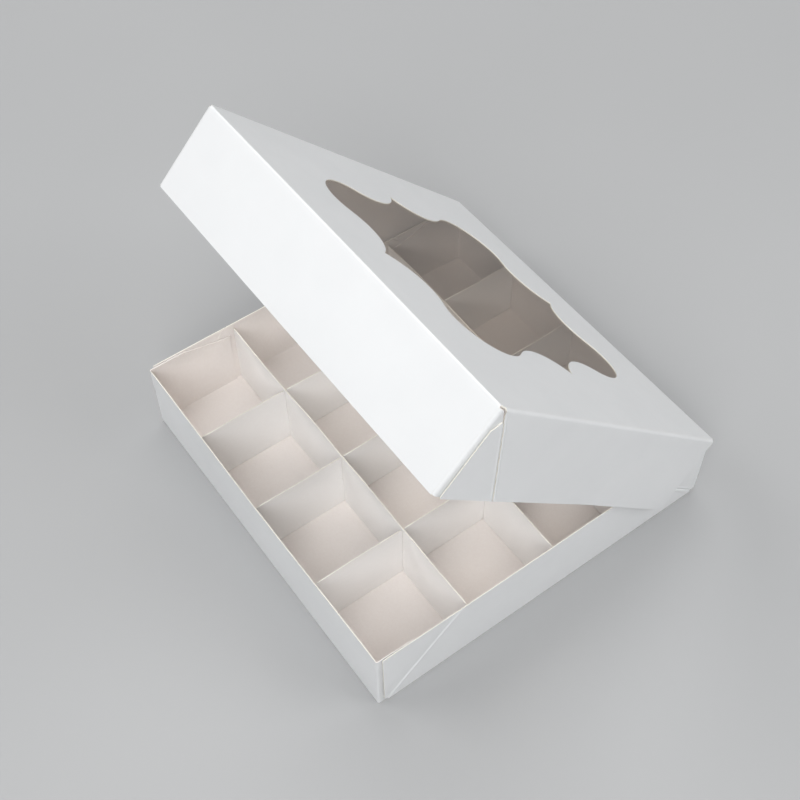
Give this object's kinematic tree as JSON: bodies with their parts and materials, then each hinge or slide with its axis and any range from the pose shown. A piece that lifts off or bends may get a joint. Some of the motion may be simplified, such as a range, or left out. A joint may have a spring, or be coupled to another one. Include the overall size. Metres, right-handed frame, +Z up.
{
  "type": "folding carton with divider grid and windowed hinged lid",
  "caption": "White folding-board carton with a square divider grid in its tray and a hinged lid with a scalloped clear window.",
  "frame": {"origin": "centre of the tray's flat underside", "axes": "+Z up out of the tray; +X along the hinge line, to the right as seen from the front; +Y from the front wall to the hinge; the tray's width is along X and its depth along Y"},
  "size_m": [0.1794, 0.176, 0.1638],
  "materials": {
    "coated_board": "white coated paperboard, satin",
    "lid_board": "white coated paperboard, satin",
    "divider_board": "white paperboard, matt",
    "clear_film": "clear, glossy"
  },
  "bodies": {
    "tray": {"base_floor": "coated_board", "base_front_wall": "coated_board", "base_back_wall": "coated_board", "base_left_wall": "coated_board", "base_right_wall": "coated_board", "base_gusset_front_left": "coated_board", "base_gusset_front_right": "coated_board", "base_gusset_rear_left": "coated_board", "base_gusset_rear_right": "coated_board", "base_flap_front_left": "coated_board", "base_flap_front_right": "coated_board", "base_flap_rear_left": "coated_board", "base_flap_rear_right": "coated_board", "long_divider_1": "divider_board", "long_divider_2": "divider_board", "long_divider_3": "divider_board", "cross_divider_1": "divider_board", "cross_divider_2": "divider_board", "cross_divider_3": "divider_board", "hinge_crease": "lid_board"},
    "lid": {"lid_panel": "lid_board", "lid_front_wall": "lid_board", "lid_left_wall": "lid_board", "lid_right_wall": "lid_board", "lid_gusset_left": "lid_board", "lid_gusset_right": "lid_board", "lid_flap_left": "lid_board", "lid_flap_right": "lid_board", "window_film": "clear_film"}
  },
  "joints": [
    {"name": "lid_hinge", "type": "hinge", "parent": "tray", "child": "lid", "pos_m": [0, 0.08725, 0.0385], "axis": [-1, 0, 0], "range_deg": [-45, 135], "deforming": ["hinge_crease"]}
  ]
}
